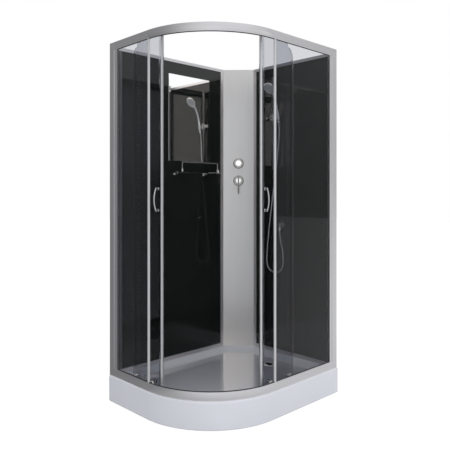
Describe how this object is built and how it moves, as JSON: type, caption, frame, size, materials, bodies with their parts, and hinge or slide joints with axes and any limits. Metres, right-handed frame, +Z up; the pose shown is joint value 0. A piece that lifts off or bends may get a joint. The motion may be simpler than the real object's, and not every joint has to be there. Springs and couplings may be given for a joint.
{
  "type": "steam shower cabin",
  "caption": "Open-topped corner shower cabin with a low tray, rounded front, sliding curved glass doors, dark glass walls, mirror, shelf, mixer column and hand shower on a riser.",
  "frame": {"origin": "middle of the tray's outline at floor level", "axes": "+X along the long side towards the short wall, +Y along the short side towards the long wall, +Z up; the rounded corner with the doors faces -X and -Y"},
  "size_m": [1.12, 0.888, 2.15],
  "materials": {
    "acrylic": "glossy silver-grey acrylic",
    "black_glass": "black back-painted glass, polished",
    "board": "sealed board",
    "braided_pipe": "drawn copper pipe",
    "brass": "cast and machined",
    "chrome": "polished",
    "clear_glass": "clear, polished edge",
    "grey_rubber": "soft nozzles",
    "hose_metal": "spiral wound metal sleeve",
    "mirror": "silvered, polished edge",
    "satin_aluminium": "satin anodised",
    "seal": "translucent soft PVC",
    "silver_panel": "satin, fine brushed",
    "steel": "turned",
    "tinted_glass": "light grey tint, clear",
    "wheel_plastic": "acetal",
    "white_plastic": "moulded",
    "zinc_steel": "zinc plated"
  },
  "bodies": {
    "cabin": {"bottom_rail": "satin_aluminium", "column_panel": "silver_panel", "column_trims": "satin_aluminium", "control_plates": "chrome", "feed_pipe": "braided_pipe", "hose_bottom_nut": "chrome", "left_fixed_glass": "tinted_glass", "left_glass_profile": "satin_aluminium", "left_jamb_profile": "satin_aluminium", "left_wall_post": "satin_aluminium", "long_wall_glass": "black_glass", "mirror": "mirror", "mixer_body": "brass", "right_fixed_glass": "tinted_glass", "right_glass_profile": "satin_aluminium", "right_jamb_profile": "satin_aluminium", "right_wall_post": "satin_aluminium", "riser_rail": "chrome", "shelf_brackets": "chrome", "shelf_glass": "clear_glass", "shelf_guard_rail": "chrome", "short_wall_glass": "black_glass", "shower_hose": "hose_metal", "top_rail": "satin_aluminium", "tray_base_board": "board", "tray_feet": "zinc_steel", "tray_shell": "acrylic", "tray_underframe": "zinc_steel", "wall_elbow": "chrome", "wall_trims": "satin_aluminium", "waste_trap": "white_plastic"},
    "left_door": {"left_door_glass": "tinted_glass", "left_door_edge_profile": "satin_aluminium", "left_door_seals": "seal", "left_door_handle": "chrome", "left_door_hangers": "steel"},
    "left_top_leading_wheel_body": {"left_top_leading_wheel": "wheel_plastic"},
    "left_top_trailing_wheel_body": {"left_top_trailing_wheel": "wheel_plastic"},
    "left_bottom_leading_wheel_body": {"left_bottom_leading_wheel": "wheel_plastic"},
    "left_bottom_trailing_wheel_body": {"left_bottom_trailing_wheel": "wheel_plastic"},
    "right_door": {"right_door_glass": "tinted_glass", "right_door_edge_profile": "satin_aluminium", "right_door_seals": "seal", "right_door_handle": "chrome", "right_door_hangers": "steel"},
    "right_top_leading_wheel_body": {"right_top_leading_wheel": "wheel_plastic"},
    "right_top_trailing_wheel_body": {"right_top_trailing_wheel": "wheel_plastic"},
    "right_bottom_leading_wheel_body": {"right_bottom_leading_wheel": "wheel_plastic"},
    "right_bottom_trailing_wheel_body": {"right_bottom_trailing_wheel": "wheel_plastic"},
    "mixer_spindle_body": {"mixer_spindle": "steel"},
    "mixer_lever_body": {"mixer_lever": "chrome"},
    "diverter": {"diverter_knob": "chrome"},
    "waste_lid": {"waste_cover": "chrome"},
    "slider_body": {"slider": "chrome"},
    "slider_knob_body": {"slider_knob": "chrome"},
    "hand_shower": {"handset_holder": "chrome", "handset": "chrome", "spray_face": "grey_rubber", "hose_top_nut": "chrome"}
  },
  "joints": [
    {"name": "left_door_travel", "type": "hinge", "parent": "cabin", "child": "left_door", "pos_m": [0.081, 0.094, 1.15], "axis": [0, 0, 1], "range_deg": [0, 27.7]},
    {"name": "left_top_leading_wheel_spin", "type": "hinge", "parent": "left_door", "child": "left_top_leading_wheel_body", "pos_m": [-0.52527, 0.04836, 2.1333], "axis": [-0.9869, -0.1616, 0], "range_deg": [-1420, 10]},
    {"name": "left_top_trailing_wheel_spin", "type": "hinge", "parent": "left_door", "child": "left_top_trailing_wheel_body", "pos_m": [-0.52008, 0.22344, 2.1333], "axis": [-0.9755, 0.2199, 0], "range_deg": [-1430, 10]},
    {"name": "left_bottom_leading_wheel_spin", "type": "hinge", "parent": "left_door", "child": "left_bottom_leading_wheel_body", "pos_m": [-0.52527, 0.04836, 0.1933], "axis": [-0.9869, -0.1616, 0], "range_deg": [-1700, 10]},
    {"name": "left_bottom_trailing_wheel_spin", "type": "hinge", "parent": "left_door", "child": "left_bottom_trailing_wheel_body", "pos_m": [-0.52008, 0.22344, 0.1933], "axis": [-0.9755, 0.2199, 0], "range_deg": [-1720, 10]},
    {"name": "right_door_travel", "type": "hinge", "parent": "cabin", "child": "right_door", "pos_m": [-0.014, 0.224, 1.15], "axis": [0, 0, -1], "range_deg": [0, 28.4]},
    {"name": "right_top_leading_wheel_spin", "type": "hinge", "parent": "right_door", "child": "right_top_leading_wheel_body", "pos_m": [-0.04643, -0.41034, 2.1333], "axis": [-0.1495, -0.9888, 0], "range_deg": [-10, 1520]},
    {"name": "right_top_trailing_wheel_spin", "type": "hinge", "parent": "right_door", "child": "right_top_trailing_wheel_body", "pos_m": [0.12858, -0.40301, 2.1333], "axis": [0.2317, -0.9728, 0], "range_deg": [-10, 1540]},
    {"name": "right_bottom_leading_wheel_spin", "type": "hinge", "parent": "right_door", "child": "right_bottom_leading_wheel_body", "pos_m": [-0.04643, -0.41034, 0.1933], "axis": [-0.1495, -0.9888, 0], "range_deg": [-10, 1820]},
    {"name": "right_bottom_trailing_wheel_spin", "type": "hinge", "parent": "right_door", "child": "right_bottom_trailing_wheel_body", "pos_m": [0.12858, -0.40301, 0.1933], "axis": [0.2317, -0.9728, 0], "range_deg": [-10, 1840]},
    {"name": "mixer_turn", "type": "hinge", "parent": "cabin", "child": "mixer_spindle_body", "pos_m": [0.45125, 0.33525, 1.336], "axis": [-0.7071, -0.7071, 0], "range_deg": [-45, 45]},
    {"name": "mixer_lift", "type": "hinge", "parent": "mixer_spindle_body", "child": "mixer_lever_body", "pos_m": [0.43322, 0.31722, 1.336], "axis": [-0.7071, 0.7071, 0], "range_deg": [0, 25]},
    {"name": "diverter_turn", "type": "hinge", "parent": "cabin", "child": "diverter", "pos_m": [0.45125, 0.33525, 1.46], "axis": [-0.7071, -0.7071, 0], "range_deg": [0, 180]},
    {"name": "waste_lid_lift", "type": "slide", "parent": "cabin", "child": "waste_lid", "axis": [0, 0, 1], "range_m": [0, 0.03]},
    {"name": "slider_travel", "type": "slide", "parent": "cabin", "child": "slider_body", "axis": [0, 0, 1], "range_m": [-0.285, 0.215], "deforming": ["shower_hose"]},
    {"name": "slider_knob_turn", "type": "hinge", "parent": "slider_body", "child": "slider_knob_body", "pos_m": [0.505, 0.1028, 1.765], "axis": [0, 1, 0], "range_deg": [0, 90]},
    {"name": "hand_shower_tilt", "type": "hinge", "parent": "slider_body", "child": "hand_shower", "pos_m": [0.505, 0.03, 1.765], "axis": [0, 1, 0], "range_deg": [-3, 15]}
  ],
  "couplings": [
    {"joint": "left_top_leading_wheel_spin", "follows": "left_door_travel", "ratio": -50.666},
    {"joint": "left_top_trailing_wheel_spin", "follows": "left_door_travel", "ratio": -51.238},
    {"joint": "left_bottom_leading_wheel_spin", "follows": "left_door_travel", "ratio": -60.798},
    {"joint": "left_bottom_trailing_wheel_spin", "follows": "left_door_travel", "ratio": -61.486},
    {"joint": "right_top_leading_wheel_spin", "follows": "right_door_travel", "ratio": 52.931},
    {"joint": "right_top_trailing_wheel_spin", "follows": "right_door_travel", "ratio": 53.585},
    {"joint": "right_bottom_leading_wheel_spin", "follows": "right_door_travel", "ratio": 63.517},
    {"joint": "right_bottom_trailing_wheel_spin", "follows": "right_door_travel", "ratio": 64.302}
  ]
}
